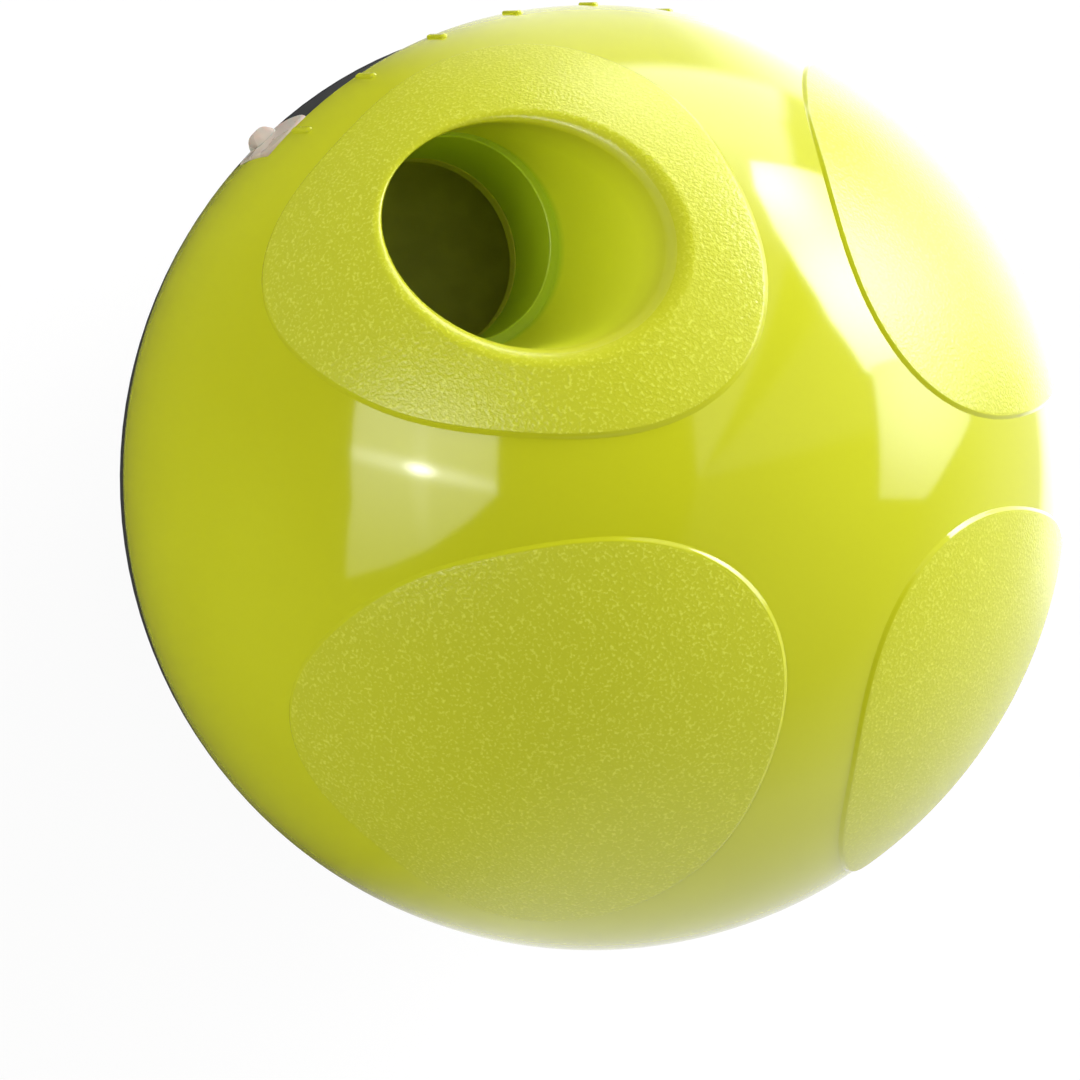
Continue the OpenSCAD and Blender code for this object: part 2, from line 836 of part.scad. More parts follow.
// a place on the board's underside: share of its width from the inner edge, share of its arc
module on_board(across_share, along_share)
    rotate([0, 0, board_a0 + along_share * (board_a1 - board_a0)])
        translate([board_in + across_share * board_w, 0, board_bottom])
            children();

module timer_chip() color(black)
    on_board(0.5, 0.5)
        translate([-chip_w / 2, -chip_l / 2, -chip_h])
            cube([chip_w, chip_l, chip_h]);

module buzzer() color(black)
    on_board(0.5, 0.2)
        difference() {
            round_bar(buzzer_d / 2, -buzzer_h, 0);
            round_bar(buzzer_d / 12, -buzzer_h - over, -buzzer_h + over);
        }

module capacitor() color("#3a4a6b")
    on_board(0.5, 0.78)
        round_bar(cap_d / 2, -cap_h, 0);

module timer_knob() color(white) {
    rotate([0, 0, sel_first]) {
        ball_bar(bore_r + knob_gap, ball_r, sill_h + knob_gap, notch_h - knob_gap,
            -knob_half, knob_half);
        intersection() {
            translate([ball_r + grip_rise - grip_r, grip_w / 2, sill_h + knob_gap + wall])
                rotate([90, 0, 0])
                    cylinder(r = grip_r, h = grip_w, $fn = fine);
            round_bar(ball_r + grip_rise, sill_h + knob_gap, notch_h);
            translate([bore_r + knob_gap + wall / 2, -grip_w, 0])
                cube([2 * wall + grip_rise, 2 * grip_w, notch_h]);
        }
        translate([carrier_r - carrier_t, -stem_w / 2, stem_z])
            cube([bore_r + wall / 2 - carrier_r + carrier_t, stem_w, stem_h]);
    }
}

module knob_carrier() color(black)
    rotate([0, 0, sel_first])
        difference() {
            union() {
                arc_bar(carrier_r - carrier_t, carrier_r, stem_z - bracket_t,
                    stem_z + stem_h + bracket_t, -knob_half, knob_half);
                translate([carrier_r - carrier_t + seat_gap, -stem_w / 2, wiper_top])
                    cube([carrier_t - 2 * seat_gap, stem_w, stem_z - wiper_top]);
            }
            translate([carrier_r - 2 * carrier_t, -stem_w / 2 - pin_gap, stem_z - pin_gap])
                cube([3 * carrier_t, stem_w + 2 * pin_gap, stem_h + 2 * pin_gap]);
        }

module selector_wiper() color("#c9a24a")
    rotate([0, 0, sel_first])
        translate([carrier_r - carrier_t + seat_gap, -stem_w / 2, board_top + pin_gap])
            cube([carrier_t - 2 * seat_gap, stem_w, wiper_t]);

// cells lie along X, the right one turned round
module at_cells()
    for (s = [-1, 1])
        translate([0, s * (cell_r + cell_gap / 2), -cell_z])
            rotate([0, s * 90, 0])
                children();

nub_r = nub_d / 2;
contact_t = cell_gap - pin_gap;

module battery_cells() color("#3b3f46")
    at_cells()
        translate([0, 0, bay_x - cell_gap - cell_l]) {
            round_bar(cell_r, 0, cell_l - nub_l);
            round_bar(nub_r, 0, cell_l);
        }

module cell_contacts() color(steel)
    at_cells() {
        translate([-nub_r * 2, -nub_r * 2, bay_x - contact_t])
            cube([nub_r * 4, nub_r * 4, contact_t]);
        translate([-nub_r * 2, -nub_r * 2, -bay_x])
            cube([nub_r * 4, nub_r * 4, contact_t]);
        difference() {
            translate([0, 0, contact_t - bay_x])
                cylinder(r1 = nub_r * 1.8, r2 = nub_r, h = spring_l - contact_t - pin_gap, $fn = fine);
            translate([0, 0, contact_t - bay_x - over])
                cylinder(r1 = nub_r * 1.6, r2 = nub_r * 0.6, h = spring_l + over, $fn = fine);
        }
    }

upper_shell();
pod_cover();
lower_shell();
treat_wheel();
drive_gear();
gear_screws();
axle();
axle_washer();
axle_nut();
deck();
deck_screws();
pinion();
motor_shaft();
gearbox();
motor_can();
motor_bracket();
bracket_screws();
circuit_board();
board_screws();
timer_chip();
buzzer();
capacitor();
timer_knob();
knob_carrier();
selector_wiper();
battery_cells();
cell_contacts();
battery_door();
door_screws();
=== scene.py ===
import math

import bmesh
import bpy
from mathutils import Matrix, Vector


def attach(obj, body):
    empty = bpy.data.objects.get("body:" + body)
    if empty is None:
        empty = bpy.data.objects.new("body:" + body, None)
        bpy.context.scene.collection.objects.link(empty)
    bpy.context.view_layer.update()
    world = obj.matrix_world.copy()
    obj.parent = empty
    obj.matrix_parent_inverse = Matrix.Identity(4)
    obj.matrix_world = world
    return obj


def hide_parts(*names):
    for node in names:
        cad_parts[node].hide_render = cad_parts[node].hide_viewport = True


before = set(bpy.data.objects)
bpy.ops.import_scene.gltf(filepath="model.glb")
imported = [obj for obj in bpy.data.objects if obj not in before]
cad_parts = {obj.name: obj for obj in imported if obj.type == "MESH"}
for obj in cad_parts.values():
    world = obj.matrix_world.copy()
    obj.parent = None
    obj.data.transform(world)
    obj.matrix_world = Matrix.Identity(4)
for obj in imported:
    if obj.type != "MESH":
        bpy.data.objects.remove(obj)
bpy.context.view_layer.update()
print("frame loaded:", len(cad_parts), "nodes")

mm = 0.001
pi = math.pi

# the ball that every outer piece follows, in mm
ball = {"outer": 73.0, "inner": 70.0, "pad": 73.4}

# angles over which two faces meet in a sharp edge, in radians, and in a crease, in degrees
sharpEdge = 1.0
creaseDegrees = 40

# what counts as no distance, and the weld of the cover's seams, in mm
tiny = 0.001
seamWeld = 0.003


def linear(hexText):
    # sRGB hex to the linear colour that a shader wants
    parts = [int(hexText[i:i + 2], 16) / 255 for i in (1, 3, 5)]
    return tuple(c / 12.92 if c <= 0.04045 else ((c + 0.055) / 1.055) ** 2.4 for c in parts) + (1,)


def addNode(tree, kind, inputs=None, **settings):
    node = tree.nodes.new("ShaderNode" + kind)
    for key, value in settings.items():
        setattr(node, key, value)
    for key, value in (inputs or {}).items():
        if isinstance(value, bpy.types.NodeSocket):
            tree.links.new(value, node.inputs[key])
        else:
            node.inputs[key].default_value = value
    return node


def newMaterial(name):
    material = bpy.data.materials.new(name)
    material.use_nodes = True
    material.node_tree.nodes.clear()
    return material, material.node_tree


def finishShader(tree, **inputs):
    shader = addNode(tree, "BsdfPrincipled", inputs)
    addNode(tree, "OutputMaterial", {"Surface": shader.outputs[0]})


def grey(level):
    return (level, level, level, 1)


def ramp(tree, fac, *stops):
    # colour by fac, through stops of (place, hex colour)
    node = addNode(tree, "ValToRGB", {"Fac": fac})
    elements = node.color_ramp.elements
    for element, (place, colour) in zip(elements, (stops[0], stops[-1])):
        element.position = place
        element.color = linear(colour)
    for place, colour in stops[1:-1]:
        elements.new(place).color = linear(colour)
    return node.outputs[0]


def noise(tree, place, sizeMm, detail):
    # noise whose waves are about that many mm long
    node = addNode(tree, "TexNoise", {"Vector": place, "Scale": 1 / (sizeMm * mm), "Detail": detail})
    return node.outputs["Fac"]


def mapped(tree, value, span, levels=(0.0, 1.0), **settings):
    # value moved from span to levels, and held at their ends
    node = addNode(tree, "MapRange", {"Value": value, "From Min": span[0], "From Max": span[1],
                                      "To Min": levels[0], "To Max": levels[1]}, **settings)
    return node.outputs[0]


def mixed(tree, factor, first, second, kind="RGBA"):
    node = addNode(tree, "Mix", {"Factor": factor, "A": first, "B": second}, data_type=kind)
    return node.outputs["Result"]


def maths(tree, operation, *terms):
    return addNode(tree, "Math", dict(enumerate(terms)), operation=operation).outputs[0]


def reachOf(tree, place):
    # length of a vector, which for a place is its distance from the ball's middle
    return addNode(tree, "VectorMath", {0: place}, operation="LENGTH").outputs["Value"]


def brokenEdge(tree, radiusMm):
    # shades sharp edges as if they were rounded by that much
    return addNode(tree, "Bevel", {"Radius": radiusMm * mm}, samples=4).outputs[0]


# meshes

def gridSheet(bm, across, up, place):
    # a grid of faces whose corners go where place(u, v) says
    made = bmesh.ops.create_grid(bm, x_segments=across, y_segments=up, size=1)["verts"]
    for vert in made:
        vert.co = Vector(place((vert.co.x + 1) / 2, (vert.co.y + 1) / 2))
    return made


def onBall(radius, azimuth, height):
    # a point at that distance from the ball's centre and that height, azimuth in degrees
    plan = math.sqrt(max(radius * radius - height * height, 0))
    return Vector((plan * math.cos(math.radians(azimuth)), plan * math.sin(math.radians(azimuth)), height))


def makePiece(name, bm, body, slot, weld=0.002):
    # the mesh is in mm up to here, and the object in metres
    if weld:
        bmesh.ops.remove_doubles(bm, verts=bm.verts[:], dist=weld)
    bmesh.ops.scale(bm, vec=(mm, mm, mm), verts=bm.verts[:])
    mesh = bpy.data.meshes.new(name)
    bm.to_mesh(mesh)
    bm.free()
    piece = bpy.data.objects.new(name, mesh)
    bpy.context.scene.collection.objects.link(piece)
    mesh.materials.append(finishes[slot])
    for face in mesh.polygons:
        face.use_smooth = True
    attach(piece, body)
    return piece


def shadeEvenly(piece):
    # flat faces stay flat up to their rounded edges, and creases stay sharp
    piece.data.set_sharp_from_angle(angle=math.radians(creaseDegrees))
    even = piece.modifiers.new("evenNormals", "WEIGHTED_NORMAL")
    even.keep_sharp = True


def wrapOnBall(verts, azimuth):
    # bends verts from (arc length, rise over the ball, height) onto the ball
    for vert in verts:
        along, rise, height = vert.co
        vert.co = onBall(ball["outer"] + rise, azimuth + math.degrees(along / ball["outer"]), height)


def roundEdges(bm, edges, radius, segments):
    # gives the faces of the rounded edges
    return bmesh.ops.bevel(bm, geom=edges, offset=radius, offset_type="OFFSET", segments=segments,
                           profile=0.5, affect="EDGES", material=-1)["faces"]


def roundedBox(bm, size, centre, edge, segments=2):
    made = bmesh.ops.create_cube(bm, size=1)["verts"]
    bmesh.ops.scale(bm, vec=size, verts=made)
    bmesh.ops.translate(bm, vec=centre, verts=made)
    faces = roundEdges(bm, list({e for v in made for e in v.link_edges}), edge, segments)
    return list({v for f in faces for v in f.verts})


# materials

# refractive index of ABS
absIndex = 1.53

# lime ABS, moulded: polished bands, and pads spark-eroded in the tool, which sparkle from their grain and
# from highlights painted on its peaks
limeLook = {"colour": "#b8bc1e", "deep": "#b1b418", "driftMm": 40, "drift": (0.3, 0.7),
            # tube's painted light and shade: its wall painted brighter for light through the plastic, its
            # bore greener for shade; by the cover's bore values: where the wall has taken on its own tone,
            # and where that tone is full
            "tube": "#cdd522", "bore": "#abc317", "mouth": (0.0, 0.2), "bright": (0.35, 0.6),
            # tones of the grain, with painted shade in its pits and a painted highlight on its peaks,
            # and the part of its noise that makes the peaks
            "pitShade": "#b4b81d", "peakHighlight": "#cacd3c", "peaks": (0.53, 0.74), "grainMm": 0.42,
            "grainDepthMm": 0.07,
            # roughness of the bands, the pads and the tube, and the bore values over which the last sets in
            "smooth": 0.08, "eroded": 0.27, "core": 0.45, "matt": (0.0, 0.04)}


def makeLime():
    look = limeLook
    material, tree = newMaterial("limeMouldedAbs")
    place = addNode(tree, "TexCoord").outputs["Object"]
    spark = addNode(tree, "Attribute", attribute_name="spark").outputs["Fac"]
    inBore = addNode(tree, "Attribute", attribute_name="bore").outputs["Fac"]
    # slow change of tone over the wall
    drift = noise(tree, place, look["driftMm"], 2.0)
    wall = ramp(tree, drift, (look["drift"][0], look["deep"]), (look["drift"][1], look["colour"]))
    # painted light and shade: the tube is painted brighter near its mouth for light that crosses the wall,
    # and greener deep inside for shade
    tube = ramp(tree, inBore, (0.0, look["colour"]), (look["bright"][0], look["tube"]),
                (look["bright"][1], look["tube"]), (1.0, look["bore"]))
    plain = mixed(tree, mapped(tree, inBore, look["mouth"]), wall, tube)
    # eroded grain: round pits with finer ones between, with painted shade in the pits and painted highlights
    # as bright points on the highest peaks
    grain = noise(tree, place, look["grainMm"], 1.0)
    skin = mixed(tree, mapped(tree, grain, look["peaks"]), linear(look["pitShade"]), linear(look["peakHighlight"]))
    bump = addNode(tree, "Bump", {"Height": maths(tree, "MULTIPLY", grain, spark),
                                  "Distance": look["grainDepthMm"] * mm, "Strength": 1.0})
    # the core that moulds the tube is left matt, without the grain of the pads
    matt = mapped(tree, inBore, look["matt"], (0.0, look["core"]))
    worked = mapped(tree, spark, (0.0, 1.0), (look["smooth"], look["eroded"]))
    finishShader(tree, **{"Base Color": mixed(tree, spark, plain, skin), "IOR": absIndex,
                          "Roughness": maths(tree, "MAXIMUM", matt, worked), "Normal": bump.outputs[0]})
    return material


# black ABS of the base: the same tool finish, told apart by the distance from the ball's centre
blackLook = {"colour": "#191a1c", "worn": "#222326", "driftMm": 25, "drift": (0.35, 0.75),
             "grainMm": 0.42, "grainDepthMm": 0.075, "edgeMm": 0.25,
             # distances over which the outside and the pads start, and roughness inside, outside and on pads
             "outsideMm": (72.8, 72.92), "padMm": (73.15, 73.3), "matt": 0.36, "smooth": 0.14, "eroded": 0.3}


def makeBlack():
    look = blackLook
    material, tree = newMaterial("blackMouldedAbs")
    place = addNode(tree, "TexCoord").outputs["Object"]
    reach = reachOf(tree, place)
    onPad = mapped(tree, reach, [r * mm for r in look["padMm"]])
    drift = noise(tree, place, look["driftMm"], 3.0)
    tone = ramp(tree, drift, (look["drift"][0], look["colour"]), (look["drift"][1], look["worn"]))
    depth = maths(tree, "MULTIPLY", noise(tree, place, look["grainMm"], 1.0), onPad)
    bump = addNode(tree, "Bump", {"Height": depth, "Distance": look["grainDepthMm"] * mm,
                                  "Normal": brokenEdge(tree, look["edgeMm"])})
    # only the bands of the outside are polished in the tool, and the rest is left fine matt
    within = mapped(tree, reach, [r * mm for r in look["outsideMm"]], (look["matt"], look["smooth"]))
    worked = mapped(tree, onPad, (0.0, 1.0), (look["smooth"], look["eroded"]))
    finishShader(tree, **{"Base Color": tone, "Roughness": maths(tree, "MAXIMUM", within, worked),
                          "Normal": bump.outputs[0], "IOR": absIndex})
    return material


# plain mouldings and metals: two tones, a grain with its real size and depth, and a roughness range
plainLooks = {
    "inner_plastic": {"name": "mattBlackAbs", "tones": ("#17181a", "#212225"), "grainMm": 0.4,
                      "depthMm": 0.012, "rough": (0.5, 0.62)},
    "wheel": {"name": "mattLimeAbs", "tones": ("#c2c42e", "#cdcf36"), "grainMm": 0.4,
              "depthMm": 0.012, "rough": (0.42, 0.55)},
    "white_plastic": {"name": "milkyAcetal", "tones": ("#b8ab9b", "#c6bbad"), "grainMm": 1.2,
                      "depthMm": 0.01, "rough": (0.24, 0.34), "scatter": 0.35},
    "gear_plastic": {"name": "naturalAcetal", "tones": ("#d8d5c8", "#e4e1d6"), "grainMm": 0.8,
                     "depthMm": 0.006, "rough": (0.34, 0.44), "scatter": 0.15},
    "steel": {"name": "zincPlatedSteel", "tones": ("#b4b6b8", "#c9ccd2"), "grainMm": 0.6,
              "depthMm": 0.004, "rough": (0.24, 0.38), "metal": 1.0},
    "brass": {"name": "springBrass", "tones": ("#c79f4e", "#d8b566"), "grainMm": 0.5,
              "depthMm": 0.003, "rough": (0.22, 0.34), "metal": 1.0},
    "motor_can": {"name": "nickelPlatedCan", "tones": ("#c2c3c4", "#d2d3d6"), "grainMm": 1.5,
                  "depthMm": 0.003, "rough": (0.16, 0.26), "metal": 1.0},
    "chip": {"name": "mouldedEpoxy", "tones": ("#1a1a1b", "#262627"), "grainMm": 0.15,
             "depthMm": 0.01, "rough": (0.6, 0.72)},
    "capacitor": {"name": "shrunkPvcSleeve", "tones": ("#1c2740", "#24304e"), "grainMm": 2.0,
                  "depthMm": 0.01, "rough": (0.22, 0.34)},
    "spring_steel": {"name": "nickelPlatedSpring", "tones": ("#c4c0b8", "#d6d3cc"), "grainMm": 0.5,
                     "depthMm": 0.003, "rough": (0.18, 0.3), "metal": 1.0},
}

# what they share: slow changes of tone and roughness, rounded edges, and how far light goes into a plastic
plainShared = {"driftMm": 6, "drift": (0.35, 0.65), "roughDrift": (0.3, 0.7), "edgeMm": 0.15, "scatterMm": 2}


def makePlain(look):
    shared = plainShared
    material, tree = newMaterial(look["name"])
    place = addNode(tree, "TexCoord").outputs["Object"]
    drift = noise(tree, place, shared["driftMm"], 3.0)
    tone = ramp(tree, drift, *zip(shared["drift"], look["tones"]))
    grain = noise(tree, place, look["grainMm"], 2.0)
    bump = addNode(tree, "Bump", {"Height": grain, "Distance": look["depthMm"] * mm,
                                  "Normal": brokenEdge(tree, shared["edgeMm"])})
    sockets = {"Base Color": tone, "Roughness": mapped(tree, drift, shared["roughDrift"], look["rough"]),
               "Normal": bump.outputs[0], "Metallic": look.get("metal", 0.0)}
    if "scatter" in look:
        sockets["Subsurface Weight"] = look["scatter"]
        sockets["Subsurface Scale"] = shared["scatterMm"] * mm
    finishShader(tree, **sockets)
    return material


# glass-epoxy board: green solder mask over tracks, which a slow noise bends
boardLook = {"track": "#2f7a4a", "mask": "#17472c", "rough": 0.28, "halfTrackMm": 0.25, "pitchMm": 2.5,
             "runMm": 9, "reliefMm": 0.035, "bendMm": 9, "bendByMm": 6}


def makeBoard():
    look = boardLook
    material, tree = newMaterial("maskedEpoxyBoard")
    place = addNode(tree, "TexCoord").outputs["Object"]
    bend = addNode(tree, "TexNoise", {"Vector": place, "Scale": 1 / (look["bendMm"] * mm), "Detail": 0.0})
    pushed = addNode(tree, "VectorMath", {0: bend.outputs["Color"], 1: (look["bendByMm"] * mm,) * 3},
                     operation="MULTIPLY")
    moved = addNode(tree, "VectorMath", {0: place, 1: pushed.outputs[0]}, operation="ADD")
    between = addNode(tree, "TexBrick", {"Vector": moved.outputs[0], "Color1": grey(1.0),
                                         "Color2": grey(1.0), "Mortar": grey(0.0), "Scale": 1.0,
                                         "Mortar Size": look["halfTrackMm"] * mm,
                                         "Brick Width": look["runMm"] * mm,
                                         "Row Height": look["pitchMm"] * mm}).outputs["Color"]
    tone = mixed(tree, between, linear(look["track"]), linear(look["mask"]))
    bump = addNode(tree, "Bump", {"Height": between, "Distance": look["reliefMm"] * mm}, invert=True)
    finishShader(tree, **{"Base Color": tone, "Normal": bump.outputs[0], "Roughness": look["rough"]})
    return material


# cell jacket: printed film on a steel can, dark with a plain copper-coloured end band, and bare ends
jacketLook = {"film": "#24272b", "band": "#b06a3c", "bare": "#c5c6c8", "rough": 0.24, "metal": (0.55, 1.0),
              # distances from the middle of a cell at which the band and the bare ends start
              "bandMm": (12, 12.2), "bareMm": (24.2, 24.3), "creaseMm": 3, "creaseDepthMm": 0.02}


def makeJacket():
    look = jacketLook
    material, tree = newMaterial("filmedSteelCell")
    place = addNode(tree, "TexCoord").outputs["Object"]
    parts = addNode(tree, "SeparateXYZ", {"Vector": place})
    # the cells lie head to tail, so the band's side follows the sign of y
    run = maths(tree, "MULTIPLY", parts.outputs["X"], maths(tree, "SIGN", parts.outputs["Y"]))
    band = mapped(tree, run, [x * mm for x in look["bandMm"]])
    bare = mapped(tree, maths(tree, "ABSOLUTE", run), [x * mm for x in look["bareMm"]])
    film = mixed(tree, band, linear(look["film"]), linear(look["band"]))
    bump = addNode(tree, "Bump", {"Height": noise(tree, place, look["creaseMm"], 3.0),
                                  "Distance": look["creaseDepthMm"] * mm})
    finishShader(tree, **{"Base Color": mixed(tree, bare, film, linear(look["bare"])),
                          "Normal": bump.outputs[0], "Roughness": look["rough"],
                          "Metallic": mapped(tree, bare, (0.0, 1.0), look["metal"])})
    return material


finishes = {slot: makePlain(look) for slot, look in plainLooks.items()}
finishes["green_plastic"] = makeLime()
finishes["black_plastic"] = makeBlack()
finishes["board"] = makeBoard()
finishes["cell_jacket"] = makeJacket()
print("materials made:", len(finishes))

# every CAD node gets its finish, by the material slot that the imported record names; the wheel and the disc
# over it are seen through the tube, and are lime there
limeNodes = ("treat_wheel", "pod_cover")
for name, node in sorted(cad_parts.items()):
    for held in node.material_slots:
        slotName = held.material.name.split(".")[0] if held.material else ""
        if name in limeNodes:
            slotName = "wheel"
        if slotName in finishes:
            held.material = finishes[slotName]
        else:
            print("no finish for", name, slotName)

# cover

# pads: azimuths, centre in degrees from the pole, mean reach, and lobes on cosines from the pole's side
padLook = {"azimuths": (90, 180, 270), "polar": 42.8, "reach": 24.2,
           "lobes": (0.08, 0.058, 0.073, -0.006, 0.02), "columns": 144, "rings": 20,
           # edge of a pad: distance in from its outline and height over the ball
           "edge": ((-0.10, -0.05), (0.0, 0.0), (0.10, 0.055), (0.20, 0.13), (0.31, 0.215),
                    (0.42, 0.295), (0.54, 0.352), (0.68, 0.388), (0.85, 0.40))}


def padReach(turn):
    # angle from the pad's centre to its outline, turn 0 towards the pole
    return padLook["reach"] * (1 + sum(c * math.cos((k + 1) * turn) for k, c in enumerate(padLook["lobes"])))


def padPoint(azimuth, turn, inward, radius):
    # inward is a distance in mm from the outline, along the ball
    away = math.radians(padReach(turn)) - inward / ball["outer"]
    spot = Vector((-math.sin(away) * math.cos(turn), math.sin(away) * math.sin(turn), math.cos(away)))
    tilt = Matrix.Rotation(math.radians(padLook["polar"]), 3, "Y")
    return Matrix.Rotation(math.radians(azimuth), 3, "Z") @ tilt @ spot * radius


def addPad(bm, azimuth):
    edge = padLook["edge"]
    last = len(edge) - 1
    rings = padLook["rings"]

    def place(u, v):
        turn = 2 * pi * u
        step = round(v * (last + rings))
        if step <= last:
            return padPoint(azimuth, turn, edge[step][0], ball["outer"] + edge[step][1])
        full = math.radians(padReach(turn)) * ball["outer"] - edge[last][0]
        return padPoint(azimuth, turn, edge[last][0] + full * (step - last) / rings, ball["pad"])

    return gridSheet(bm, padLook["columns"], last + rings, place)


# cover shell: columns land on the sides of the selector's notch, rows on its top, and faces within tubeHole
# of the tube are left out over the height tubeFrom
coverLook = {"notchFrom": -69.0, "notchTo": 2.94, "notchTop": 17.4, "notchColumns": 48,
             "otherColumns": 192, "lowRows": 9, "highRows": 54, "edge": 0.3, "edgeSteps": 2,
             "tubeHole": 19.0, "tubeX": 44.8, "tubeFrom": 10.0, "weld": 0.005, "slack": 0.1}
notchLat = math.degrees(math.asin(coverLook["notchTop"] / ball["outer"]))
notchLatIn = math.degrees(math.asin(coverLook["notchTop"] / ball["inner"]))


def moveInside(vert):
    # the inner face of the wall keeps its rows level with those of the outer face up to the notch's top
    azimuth = math.degrees(math.atan2(vert.co.y, vert.co.x))
    lat = math.degrees(math.asin(min(vert.co.z / vert.co.length, 1)))
    if lat <= notchLat + coverLook["slack"]:
        height = ball["outer"] * math.sin(math.radians(lat))
    else:
        share = (lat - notchLat) / (90 - notchLat)
        height = ball["inner"] * math.sin(math.radians(notchLatIn + (90 - notchLatIn) * share))
    vert.co = onBall(ball["inner"], azimuth, height)


def addShell(bm):
    columns = coverLook["notchColumns"] + coverLook["otherColumns"]
    rows = coverLook["lowRows"] + coverLook["highRows"]
    span = coverLook["notchTo"] - coverLook["notchFrom"]

    def place(u, v):
        i, j = round(u * columns), round(v * rows)
        beyond = i - coverLook["notchColumns"]
        if beyond <= 0:
            azimuth = coverLook["notchFrom"] + span * i / coverLook["notchColumns"]
        else:
            azimuth = coverLook["notchTo"] + (360 - span) * beyond / coverLook["otherColumns"]
        if j <= coverLook["lowRows"]:
            lat = notchLat * j / coverLook["lowRows"]
        else:
            lat = notchLat + (90 - notchLat) * (j - coverLook["lowRows"]) / coverLook["highRows"]
        return onBall(ball["outer"], azimuth, ball["outer"] * math.sin(math.radians(lat)))

    gridSheet(bm, columns, rows, place)
    bmesh.ops.remove_doubles(bm, verts=bm.verts[:], dist=coverLook["weld"])

    def inNotch(face):
        middle = face.calc_center_median()
        azimuth = math.degrees(math.atan2(middle.y, middle.x))
        return coverLook["notchFrom"] < azimuth < coverLook["notchTo"] and middle.z < coverLook["notchTop"]

    def underTube(face):
        middle = face.calc_center_median()
        away = math.hypot(middle.x - coverLook["tubeX"], middle.y)
        return middle.z > coverLook["tubeFrom"] and away < coverLook["tubeHole"]

    gone = [f for f in bm.faces if inNotch(f) or underTube(f)]
    bmesh.ops.delete(bm, geom=gone, context="FACES")
    bmesh.ops.recalc_face_normals(bm, faces=bm.faces[:])
    if sum(f.normal.dot(f.calc_center_median()) for f in bm.faces) < 0:
        bmesh.ops.reverse_faces(bm, faces=bm.faces[:])
    bmesh.ops.solidify(bm, geom=bm.faces[:], thickness=ball["outer"] - ball["inner"])
    for vert in bm.verts:
        if vert.co.length < (ball["outer"] + ball["inner"]) / 2:
            moveInside(vert)
    rim = [e for e in bm.edges if len(e.link_faces) == 2 and e.calc_face_angle(0) > sharpEdge
           and max(v.co.z for v in e.verts) < coverLook["notchTop"] + coverLook["slack"]]
    roundEdges(bm, rim, coverLook["edge"], coverLook["edgeSteps"])


# outlet: the mouth is set over towards the pole, so the outer part of the tube leans
tubeLook = {"boreX": 46.6, "bore": 13.3, "ledgeX": 46.1, "wide": 14.2, "ledgeZ": 36.5, "endZ": 23.6,
            "mouthX": 43.4, "mouth": 14.7, "lip": 2.6, "wallOut": 16.1, "topX": 44.2, "topOut": 16.6,
            # broken edges of the ledge and of the end
            "ledgeIn": 13.45, "ledgeLow": 36.35, "endIn": 13.45, "endHigh": 23.75,
            # last rings, as (radius about topX, distance from the ball's centre): against the inside of the
            # wall, then out along it and into it
            "wallRings": ((16.6, 69.95), (21.3, 69.95), (21.5, 70.5)),
            "columns": 144, "padRings": 14, "lipSteps": 12, "wallSteps": 14, "samples": 1440}


def lipFrame(turn):
    # rim point of the mouth, the way out over the pad and the way down the wall
    across = Vector((math.cos(turn), math.sin(turn), 0))
    rim = Vector((tubeLook["mouthX"], 0, 0)) + tubeLook["mouth"] * across
    rim.z = math.sqrt(ball["pad"] ** 2 - rim.length_squared)
    ledge = Vector((tubeLook["ledgeX"], 0, tubeLook["ledgeZ"])) + tubeLook["wide"] * across
    up = rim.normalized()
    side = (across - up * up.dot(across)).normalized()
    return rim, side, (rim - ledge).normalized(), ledge


def lipPoint(turn, t):
    # t from 0 on the pad to 1 at the top of the wall
    rim, side, wall = lipFrame(turn)[:3]
    a = t * pi / 2
    return rim + tubeLook["lip"] * ((1 - math.sin(a)) * side - (1 - math.cos(a)) * wall)


